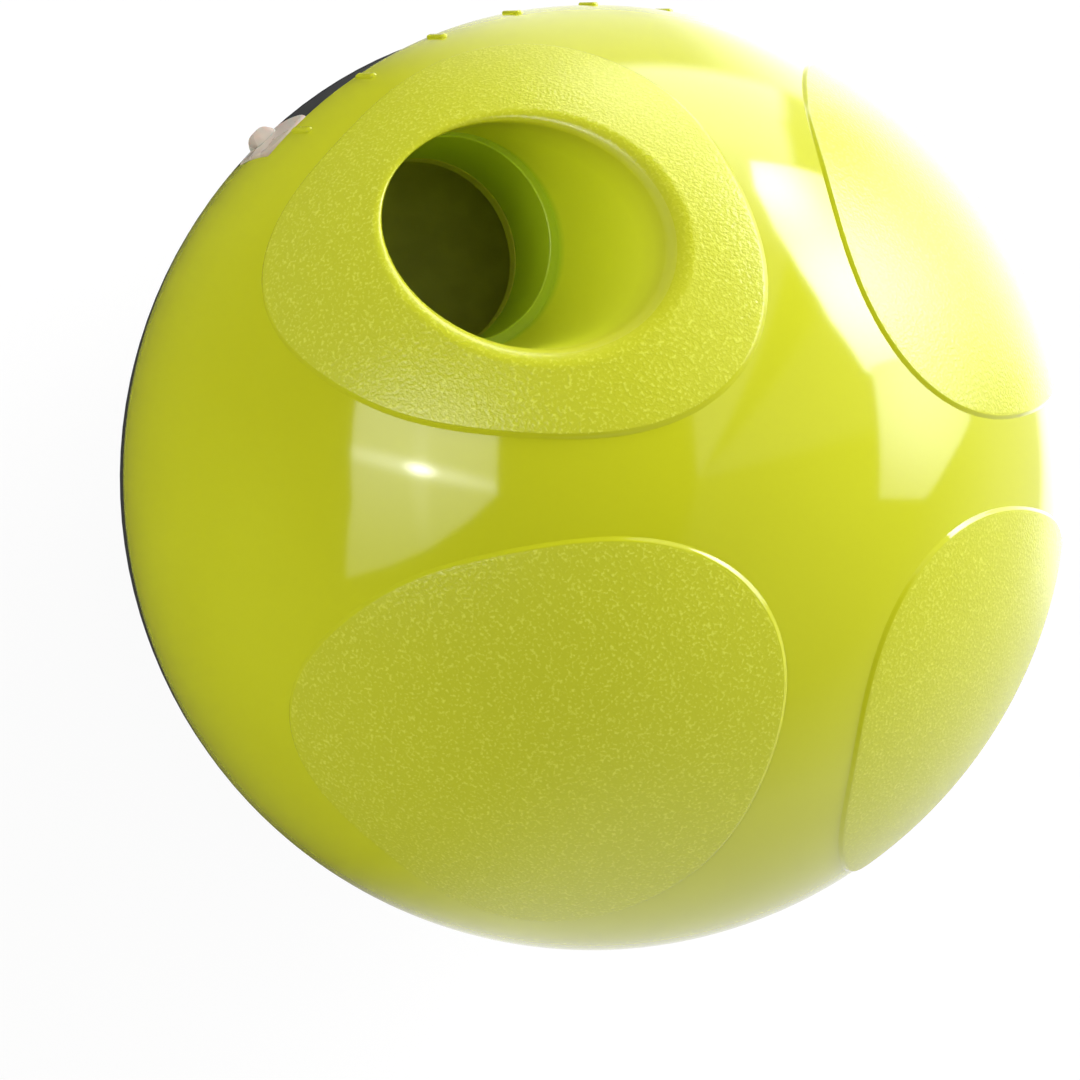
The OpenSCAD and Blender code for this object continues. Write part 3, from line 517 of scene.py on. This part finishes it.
def addMouth(bm):
    edge = padLook["edge"]
    # outline sampled by its bearing from the mouth's middle
    table = []
    for k in range(tubeLook["samples"] + 1):
        turn = 2 * pi * k / tubeLook["samples"]
        spot = padPoint(0, turn, edge[-1][0], ball["pad"])
        table.append((math.atan2(spot.y, spot.x - tubeLook["mouthX"]), turn))
    table.sort()

    def padTurn(bearing):
        bearing = (bearing + pi) % (2 * pi) - pi
        before = table[-1][0] - 2 * pi, table[-1][1]
        for now in table:
            if now[0] >= bearing:
                break
            before = now
        else:
            now = table[0][0] + 2 * pi, table[0][1]
        step = (now[1] - before[1] + pi) % (2 * pi) - pi
        return before[1] + step * (bearing - before[0]) / max(now[0] - before[0], 1e-9)

    columns = tubeLook["columns"]
    turns = [padTurn(2 * pi * i / columns) for i in range(columns + 1)]
    skirt = len(edge) - 1
    padEnd = skirt + tubeLook["padRings"]
    lipEnd = padEnd + tubeLook["lipSteps"]
    wallEnd = lipEnd + tubeLook["wallSteps"]
    # the rest of the tube, as (middle, radius, height): ledge, bore, end, outside
    rest = [("boreX", "ledgeIn", "ledgeZ"), ("boreX", "bore", "ledgeLow"), ("boreX", "bore", "endHigh"),
            ("boreX", "endIn", "endZ"), ("boreX", "wallOut", "endZ"), ("boreX", "wallOut", "ledgeZ"),
            ("topX", "topOut", "ledgeZ")]
    restEnd = wallEnd + len(rest)
    total = restEnd + len(tubeLook["wallRings"])

    def place(u, v):
        i, step = round(u * columns), round(v * total)
        bearing = 2 * pi * i / columns
        if step <= skirt:
            return padPoint(0, turns[i], edge[step][0], ball["outer"] + edge[step][1])
        if step <= padEnd:
            share = (step - skirt) / tubeLook["padRings"]
            outer = padPoint(0, turns[i], edge[-1][0], ball["pad"])
            return outer.lerp(lipPoint(bearing, 0), share).normalized() * ball["pad"]
        if step <= lipEnd:
            return lipPoint(bearing, (step - padEnd) / tubeLook["lipSteps"])
        if step <= wallEnd:
            return lipPoint(bearing, 1).lerp(lipFrame(bearing)[3], (step - lipEnd) / tubeLook["wallSteps"])
        if step <= restEnd:
            middle, radius, height = rest[step - wallEnd - 1]
            across = Vector((math.cos(bearing), math.sin(bearing), 0))
            return Vector((tubeLook[middle], 0, tubeLook[height])) + across * tubeLook[radius]
        plan, radius = tubeLook["wallRings"][step - restEnd - 1]
        spot = Vector((tubeLook["topX"] + plan * math.cos(bearing), plan * math.sin(bearing), 0))
        spot.z = math.sqrt(max(radius ** 2 - spot.length_squared, 1))
        return spot

    return gridSheet(bm, columns, total, place)


# scale over the notch: one raised dash for each of the selector's positions
markLook = {"first": -0.8, "step": -10.0, "count": 6, "low": 18.8, "high": 23.8, "width": 1.1,
            "rise": 0.42, "sunk": 0.5, "edge": 0.36, "edgeSteps": 3}


def addMarks(bm):
    look = markLook
    size = (look["width"], look["rise"] + look["sunk"], look["high"] - look["low"])
    centre = (0, (look["rise"] - look["sunk"]) / 2, (look["high"] + look["low"]) / 2)
    for k in range(look["count"]):
        verts = roundedBox(bm, size, centre, look["edge"], look["edgeSteps"])
        wrapOnBall(verts, look["first"] + k * look["step"])


# three locking lugs, their half width in degrees, and the hollow post that holds the wheel's axle down
lugLook = {"first": 20.0, "count": 3, "half": 4.0, "inner": 68.1, "outer": 71.5, "low": 2.4, "high": 4.2,
           "edge": 0.25}
postLook = {"outer": 6.0, "inner": 3.0, "low": 23.6, "high": 70.2, "edge": 0.4, "sides": 48}


def addLugs(bm):
    look = lugLook
    size = (look["outer"] - look["inner"], 2 * look["half"], look["high"] - look["low"])
    for k in range(look["count"]):
        for vert in roundedBox(bm, size, (0, 0, 0), look["edge"]):
            plan = vert.co.x + (look["outer"] + look["inner"]) / 2
            azimuth = math.radians(look["first"] + 360 * k / look["count"] + vert.co.y)
            height = vert.co.z + (look["low"] + look["high"]) / 2
            vert.co = Vector((plan * math.cos(azimuth), plan * math.sin(azimuth), height))


def addPost(bm):
    # a line of corners, turned about the ball's axis
    outer, inner, low, high, edge = (postLook[key] for key in ("outer", "inner", "low", "high", "edge"))
    corners = [(inner, high), (inner, low + edge), (inner + edge, low),
               (outer - edge, low), (outer, low + edge), (outer, high)]
    line = [bm.verts.new((x, 0, z)) for x, z in corners]
    edges = [bm.edges.new(pair) for pair in zip(line, line[1:])]
    bmesh.ops.spin(bm, geom=line + edges, cent=(0, 0, 0), axis=(0, 0, 1), angle=2 * pi,
                   steps=postLook["sides"], use_merge=True)


# where the grain and the tube's painted light and shade run, in mm: the pad's flat top, the lip inside and
# outside the mouth's edge, the depth over which the grain dies out, and the wall of the tube
coatLook = {"top": 0.02, "lipInside": 0.2, "lipReach": 18.5, "lipDepth": 3.0, "fade": 1.1,
            "tubeReach": 1.5, "skin": 0.3, "fullDepth": 18.6, "wallMost": 0.6, "overLedge": 0.05}


def sparkAt(radius, inPlan):
    # grain runs over the pad and round the lip, and dies out down the tube
    if radius > ball["pad"] - coatLook["top"]:
        return 1.0
    onLip = tubeLook["mouth"] - coatLook["lipInside"] < inPlan < coatLook["lipReach"]
    if onLip and radius > ball["outer"] - coatLook["lipDepth"]:
        return max(0.0, 1 - (ball["pad"] - radius) / coatLook["fade"])
    return 0.0


def boreAt(radius, inPlan, height):
    # 0 outside the tube, rising down its wall, and 1 in the bore under the ledge, where the greener painted
    # shade is full; it also sets the tube's matt roughness
    depth = ball["pad"] - coatLook["skin"] - radius
    if depth <= 0 or inPlan >= tubeLook["wallOut"] + coatLook["tubeReach"]:
        return 0.0
    if height < tubeLook["ledgeZ"] + coatLook["overLedge"]:
        return 1.0
    return min(coatLook["wallMost"], depth / coatLook["fullDepth"])


def buildCover():
    bm = bmesh.new()
    spark = bm.verts.layers.float.new("spark")
    inBore = bm.verts.layers.float.new("bore")
    addShell(bm)
    for azimuth in padLook["azimuths"]:
        for vert in addPad(bm, azimuth):
            vert[spark] = 1.0 if vert.co.length > ball["pad"] - coatLook["top"] else 0.0
    for vert in addMouth(bm):
        inPlan = math.hypot(vert.co.x - tubeLook["mouthX"], vert.co.y)
        vert[spark] = sparkAt(vert.co.length, inPlan)
        vert[inBore] = boreAt(vert.co.length, inPlan, vert.co.z)
    addMarks(bm)
    addLugs(bm)
    addPost(bm)
    bmesh.ops.remove_doubles(bm, verts=bm.verts[:], dist=seamWeld)
    piece = makePiece("upperShellLook", bm, "cover", "green_plastic", weld=0)
    shadeEvenly(piece)
    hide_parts("upper_shell")
    return piece


coverPiece = buildCover()
print("cover made:", len(coverPiece.data.polygons), "faces")

# knob

# plate over the notch, grip on edge, and stem; cuts are where the plate is split so that it can bend
knobLook = {"azimuth": -0.8, "halfWidth": 4.46, "low": 2.5, "high": 17.1, "thick": 2.7, "edge": 0.7,
            "edgeSteps": 4, "topRound": 3.6, "topSteps": 10, "cutsUp": (4, 6, 8, 10, 12, 14, 16),
            "cutsAcross": (-3, -2, -1, 0, 1, 2, 3), "gripR": 4.6, "gripCentre": 69.8, "gripZ": 5.5,
            "gripW": 3.6, "gripSides": 64, "gripEdge": 1.2, "gripSteps": 6, "gripFrom": 70.6,
            "stem": (10.0, 3.0, 2.6), "stemCentre": (66.5, 0, 5.6), "stemEdge": 0.3}


def addPlate(bm):
    # a flat tile with a rounded upper end, then bent onto the ball
    look = knobLook
    middleZ = (look["high"] + look["low"]) / 2
    tile = bmesh.ops.create_cube(bm, size=1)["verts"]
    bmesh.ops.scale(bm, vec=(2 * look["halfWidth"], look["thick"], look["high"] - look["low"]), verts=tile)
    bmesh.ops.translate(bm, vec=(0, -look["thick"] / 2, middleZ), verts=tile)
    upper = [e for e in bm.edges if abs(e.verts[0].co.y - e.verts[1].co.y) > look["thick"] / 2
             and e.verts[0].co.z > middleZ]
    roundEdges(bm, upper, look["topRound"], look["topSteps"])
    front = [e for e in bm.edges if all(abs(v.co.y) < tiny for v in e.verts)]
    roundEdges(bm, front, look["edge"], look["edgeSteps"])
    cuts = [((0, 0, z), (0, 0, 1)) for z in look["cutsUp"]]
    cuts += [((x, 0, 0), (1, 0, 0)) for x in look["cutsAcross"]]
    for spot, way in cuts:
        bmesh.ops.bisect_plane(bm, geom=bm.verts[:] + bm.edges[:] + bm.faces[:], plane_co=spot, plane_no=way)
    wrapOnBall(bm.verts[:], look["azimuth"])


def addGrip(bm):
    # a disc on edge, with a round outer rim, cut off where it meets the plate and the joint
    look = knobLook
    made = bmesh.ops.create_cone(bm, cap_ends=True, segments=look["gripSides"], radius1=look["gripR"],
                                 radius2=look["gripR"], depth=look["gripW"])["verts"]
    around = {e for v in made for e in v.link_edges}
    rims = [e for e in around if abs(e.verts[0].co.z - e.verts[1].co.z) < tiny
            and len(e.link_faces) == 2 and e.calc_face_angle(0) > sharpEdge]
    faces = roundEdges(bm, rims, look["gripEdge"], look["gripSteps"])
    grip = list({v for f in faces for v in f.verts} | {v for v in made if v.is_valid})
    onEdge = Matrix.Rotation(math.radians(90), 3, "X")
    for vert in grip:
        vert.co = onEdge @ vert.co + Vector((look["gripCentre"], 0, look["gripZ"]))
        vert.co.x = max(vert.co.x, look["gripFrom"])
        vert.co.z = max(vert.co.z, look["low"])
    return grip


def buildKnob():
    bm = bmesh.new()
    addPlate(bm)
    turn = Matrix.Rotation(math.radians(knobLook["azimuth"]), 3, "Z")
    bmesh.ops.rotate(bm, cent=(0, 0, 0), matrix=turn, verts=addGrip(bm))
    # stem: passes through the tongue to the slide behind it
    stem = roundedBox(bm, knobLook["stem"], knobLook["stemCentre"], knobLook["stemEdge"])
    bmesh.ops.rotate(bm, cent=(0, 0, 0), matrix=turn, verts=stem)
    piece = makePiece("timerKnobLook", bm, "timer", "white_plastic")
    shadeEvenly(piece)
    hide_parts("timer_knob")


buildKnob()
print("knob made")

# base and door

# a merged copy of the CAD mesh whose faces on the ball, and on cylinders about its axis, get the normals of
# the true round surface, so that they shine evenly; radii are those of the ball's surfaces
smoothLook = {"radii": (70.0, 73.0, 73.4, 69.34, 67.54), "within": 0.06, "facing": 0.985, "upright": 0.99,
              "weld": 1e-6}


def trueNormals(face, spots):
    # normals at a face's corners, spots in mm
    middle = sum(spots, Vector()) / len(spots)
    facing = face.normal.dot(middle.normalized())
    onSphere = any(all(abs(s.length - r) < smoothLook["within"] for s in spots) for r in smoothLook["radii"])
    if onSphere and abs(facing) > smoothLook["facing"]:
        return [s.normalized() * math.copysign(1, facing) for s in spots]
    plans = [math.hypot(s.x, s.y) for s in spots]
    upright = face.normal.dot(Vector((middle.x, middle.y, 0)).normalized())
    if max(plans) - min(plans) < smoothLook["within"] and abs(upright) > smoothLook["upright"]:
        return [Vector((s.x, s.y, 0)).normalized() * math.copysign(1, upright) for s in spots]
    return [face.normal.copy() for s in spots]


def buildSmooth(nodeName, pieceName, body, slot):
    bm = bmesh.new()
    bm.from_mesh(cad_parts[nodeName].data)
    bmesh.ops.remove_doubles(bm, verts=bm.verts[:], dist=smoothLook["weld"])
    bmesh.ops.scale(bm, vec=(1 / mm, 1 / mm, 1 / mm), verts=bm.verts[:])
    piece = makePiece(pieceName, bm, body, slot, weld=0)
    mesh = piece.data
    normals = [None] * len(mesh.loops)
    for face in mesh.polygons:
        spots = [mesh.vertices[i].co / mm for i in face.vertices]
        for loop, normal in zip(face.loop_indices, trueNormals(face, spots)):
            normals[loop] = normal
    mesh.normals_split_custom_set(normals)
    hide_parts(nodeName)


buildSmooth("lower_shell", "lowerShellLook", "base", "black_plastic")
buildSmooth("battery_door", "batteryDoorLook", "door", "black_plastic")
print("base and door made")

# stage, light and camera

# floor in mm, how much of the floor's own light the camera sees, the world's level, and where the room starts
# on the floor, in metres from the ball
stageLook = {"floorZ": -73.05, "half": 2500.0, "tiles": 8, "paint": "#f4f4f2", "shown": 0.92, "white": 0.66,
             "nearFade": (0.14, 0.18), "farFade": (0.45, 0.6),
             # the room's level falls off with the height of a direction
             "heights": (0.15, 0.6), "heightLevels": (1.0, 0.25)}

# what glossy rays meet, each towards an azimuth: the cosines over which it sets in, and its levels
lobes = {
    "darkSide": {"side": 40.0, "span": (-0.1, 0.4), "levels": (0.95, 0.06)},
    "wall": {"side": -63.0, "span": (0.95, 0.965), "levels": (0.0, 3.2)},
    "haze": {"side": -108.0, "span": (0.94, 0.978), "levels": (0.0, 1.6)},
    "floorPatch": {"side": -110.0, "span": (0.72, 0.93), "levels": (0.0, 2.4)},
}


def lobe(tree, place, name):
    # level of one of the lobes in the direction of place, by its cosine to the lobe's azimuth in plan
    azimuth = math.radians(lobes[name]["side"])
    flat = addNode(tree, "VectorMath", {0: place, 1: (1, 1, 0)}, operation="MULTIPLY")
    unit = addNode(tree, "VectorMath", {0: flat.outputs[0]}, operation="NORMALIZE")
    cosine = addNode(tree, "VectorMath", {0: unit.outputs[0], 1: (math.cos(azimuth), math.sin(azimuth), 0)},
                     operation="DOT_PRODUCT").outputs["Value"]
    return mapped(tree, cosine, lobes[name]["span"], lobes[name]["levels"], interpolation_type="SMOOTHSTEP")


def surroundings(tree, place, far):
    # brightness of the room in the ball's reflections, far from 0 to 1 where the bright wall can be seen
    bright = maths(tree, "ADD", lobe(tree, place, "wall"), lobe(tree, place, "haze"))
    return maths(tree, "MULTIPLY_ADD", bright, far, lobe(tree, place, "darkSide"))


def makeWhite(name):
    # pale ground: white to the camera, a room of its own in reflections, and still holding a soft shadow
    material, tree = newMaterial(name)
    path = addNode(tree, "LightPath")
    place = addNode(tree, "TexCoord").outputs["Object"]
    glossy = path.outputs["Is Glossy Ray"]
    direct = maths(tree, "MULTIPLY", path.outputs["Is Camera Ray"], stageLook["shown"])
    away = reachOf(tree, place)
    far = mapped(tree, away, stageLook["farFade"])
    ring = maths(tree, "SUBTRACT", mapped(tree, away, stageLook["nearFade"]), far)
    patch = lobe(tree, place, "floorPatch")
    room = maths(tree, "MULTIPLY_ADD", patch, ring, surroundings(tree, place, far))
    level = mixed(tree, glossy, 1.0, room, "FLOAT")
    paint = addNode(tree, "BsdfDiffuse", {"Color": linear(stageLook["paint"])})
    glow = addNode(tree, "Emission", {"Color": grey(1.0), "Strength": level})
    both = addNode(tree, "MixShader", {"Fac": maths(tree, "MAXIMUM", direct, glossy), 1: paint.outputs[0],
                                       2: glow.outputs[0]})
    addNode(tree, "OutputMaterial", {"Surface": both.outputs[0]})
    return material


def makeStagePiece(name, bm, material):
    mesh = bpy.data.meshes.new(name)
    bm.to_mesh(mesh)
    bm.free()
    piece = bpy.data.objects.new(name, mesh)
    bpy.context.scene.collection.objects.link(piece)
    mesh.materials.append(material)
    return piece


def buildFloor():
    bm = bmesh.new()
    bmesh.ops.create_grid(bm, x_segments=stageLook["tiles"], y_segments=stageLook["tiles"],
                          size=stageLook["half"])
    bmesh.ops.translate(bm, vec=(0, 0, stageLook["floorZ"]), verts=bm.verts[:])
    bmesh.ops.scale(bm, vec=(mm, mm, mm), verts=bm.verts[:])
    makeStagePiece("studioFloor", bm, makeWhite("whiteSweep"))


def buildWorld():
    # white to the camera, the room in reflections, and an even light for the rest
    world = bpy.data.worlds.new("studioWorld")
    bpy.context.scene.world = world
    world.use_nodes = True
    tree = world.node_tree
    tree.nodes.clear()
    path = addNode(tree, "LightPath")
    sky = addNode(tree, "TexCoord").outputs["Generated"]
    height = addNode(tree, "SeparateXYZ", {"Vector": sky}).outputs["Z"]
    overhead = mapped(tree, height, stageLook["heights"], stageLook["heightLevels"])
    room = maths(tree, "MULTIPLY", surroundings(tree, sky, 1.0), overhead)
    lit = mixed(tree, path.outputs["Is Glossy Ray"], stageLook["white"], room, "FLOAT")
    level = mixed(tree, path.outputs["Is Camera Ray"], lit, 1.0, "FLOAT")
    light = addNode(tree, "Background", {"Color": grey(1.0), "Strength": level})
    addNode(tree, "OutputWorld", {"Surface": light.outputs[0]})


buildFloor()
buildWorld()

# panels: way from the ball, distance and corners across and up in metres, an even strength, and glows
# as (across, up, reach across, reach up, turn in degrees, strength)
panels = {
    "softBox": {"towards": (0.60, 0.56, 0.43), "away": 1.3, "even": 1.4,
                "corners": ((-0.45, -0.32), (0.06, -0.31), (0.42, -0.42), (0.364, -0.143), (0.289, 0.085),
                            (0.168, 0.307), (0.053, 0.457), (-0.45, 0.47)),
                "glows": ((-0.35, 0.05, 0.85, 1.2, 0, 2.6), (-0.075, 0.061, 0.035, 0.12, 13, 26.0),
                          (-0.075, 0.061, 0.06, 0.8, 13, 4.5), (-0.075, 0.061, 0.5, 0.07, 0, 1.0))},
    "highWindow": {"towards": (-0.077, -0.88, 0.469), "away": 1.5, "even": 6.4,
                   "corners": ((0.65, -0.29), (0.60, -0.08), (0.45, 0.14), (0.26, 0.29), (0.01, 0.42),
                               (-0.29, 0.47), (-0.45, 0.36), (-0.50, -0.55), (0.31, -0.44)),
                   "glows": ((0.02, 0.2, 0.7, 0.6, 0, 11.0), (0.55, -0.15, 0.4, 0.4, 0, 11.0))},
    "sideWindow": {"towards": (-0.522, -0.668, 0.53), "away": 1.5, "even": 2.2,
                   "corners": ((0.36, 0.32), (0.01, 0.40), (-0.28, 0.45), (-0.30, 0.10), (-0.15, -0.11),
                               (-0.01, -0.35), (0.30, -0.45)),
                   "glows": ((0.25, 0.1, 0.7, 0.8, 0, 4.2),)},
}


def addPanel(name, look):
    towards = Vector(look["towards"]).normalized()
    across = Vector((0, 0, 1)).cross(towards).normalized()
    upward = towards.cross(across)
    bm = bmesh.new()
    bm.faces.new([bm.verts.new(towards * look["away"] + across * u + upward * v) for u, v in look["corners"]])
    material, tree = newMaterial(name + "Glow")
    place = addNode(tree, "TexCoord").outputs["Object"]
    spot = [addNode(tree, "VectorMath", {0: place, 1: way}, operation="DOT_PRODUCT").outputs["Value"]
            for way in (across, upward)]
    flat = addNode(tree, "CombineXYZ", {"X": spot[0], "Y": spot[1]})
    total = look["even"]
    for u, v, reachU, reachV, turn, strength in look["glows"]:
        near = addNode(tree, "VectorMath", {0: flat.outputs[0], 1: (u, v, 0)}, operation="SUBTRACT")
        turned = addNode(tree, "VectorRotate", {"Vector": near.outputs[0], "Angle": math.radians(turn)},
                         rotation_type="Z_AXIS")
        scaled = addNode(tree, "VectorMath", {0: turned.outputs[0], 1: (1 / reachU, 1 / reachV, 0)},
                         operation="MULTIPLY")
        part = mapped(tree, reachOf(tree, scaled.outputs[0]), (0.0, 1.0), (strength, 0.0),
                      interpolation_type="SMOOTHSTEP")
        total = maths(tree, "ADD", part, total)
    glow = addNode(tree, "Emission", {"Color": grey(1.0), "Strength": total})
    addNode(tree, "OutputMaterial", {"Surface": glow.outputs[0]})
    piece = makeStagePiece(name, bm, material)
    piece.visible_camera = False
    piece.visible_shadow = False


for panelName, panelLook in panels.items():
    addPanel(panelName, panelLook)

# overhead fill, which lights the right of the ball without a reflection of its own
fillLook = {"towards": (-0.63, -0.52, 0.57), "away": 1.8, "size": 2.0, "power": 3.0}


def addFill():
    data = bpy.data.lights.new("fill", "AREA")
    data.size = fillLook["size"]
    data.energy = fillLook["power"]
    lamp = bpy.data.objects.new("fill", data)
    bpy.context.scene.collection.objects.link(lamp)
    towards = Vector(fillLook["towards"]).normalized()
    lamp.location = towards * fillLook["away"]
    lamp.rotation_euler = towards.to_track_quat("Z", "Y").to_euler()
    lamp.visible_glossy = False
    lamp.visible_camera = False


addFill()

# camera of the photograph, found from the ball's outline, the pads, the tube and the joint
cameraLook = {"lens": 49.6, "sensor": 36.0, "clipFrom": 0.01, "at": (0.0703, 0.0676, 0.2210),
              "right": (-0.694, -0.615, 0.374), "up": (0.657, -0.754, -0.02)}
cameraData = bpy.data.cameras.new("photoCamera")
cameraData.lens = cameraLook["lens"]
cameraData.sensor_width = cameraLook["sensor"]
cameraData.clip_start = cameraLook["clipFrom"]
camera = bpy.data.objects.new("photoCamera", cameraData)
bpy.context.scene.collection.objects.link(camera)
right = Vector(cameraLook["right"]).normalized()
back = right.cross(Vector(cameraLook["up"])).normalized()
up = back.cross(right)
camera.matrix_world = Matrix.Translation(cameraLook["at"]) @ Matrix((right, up, back)).transposed().to_4x4()
bpy.context.scene.camera = camera
bpy.context.scene.view_settings.view_transform = "Standard"
print("stage, light and camera set")
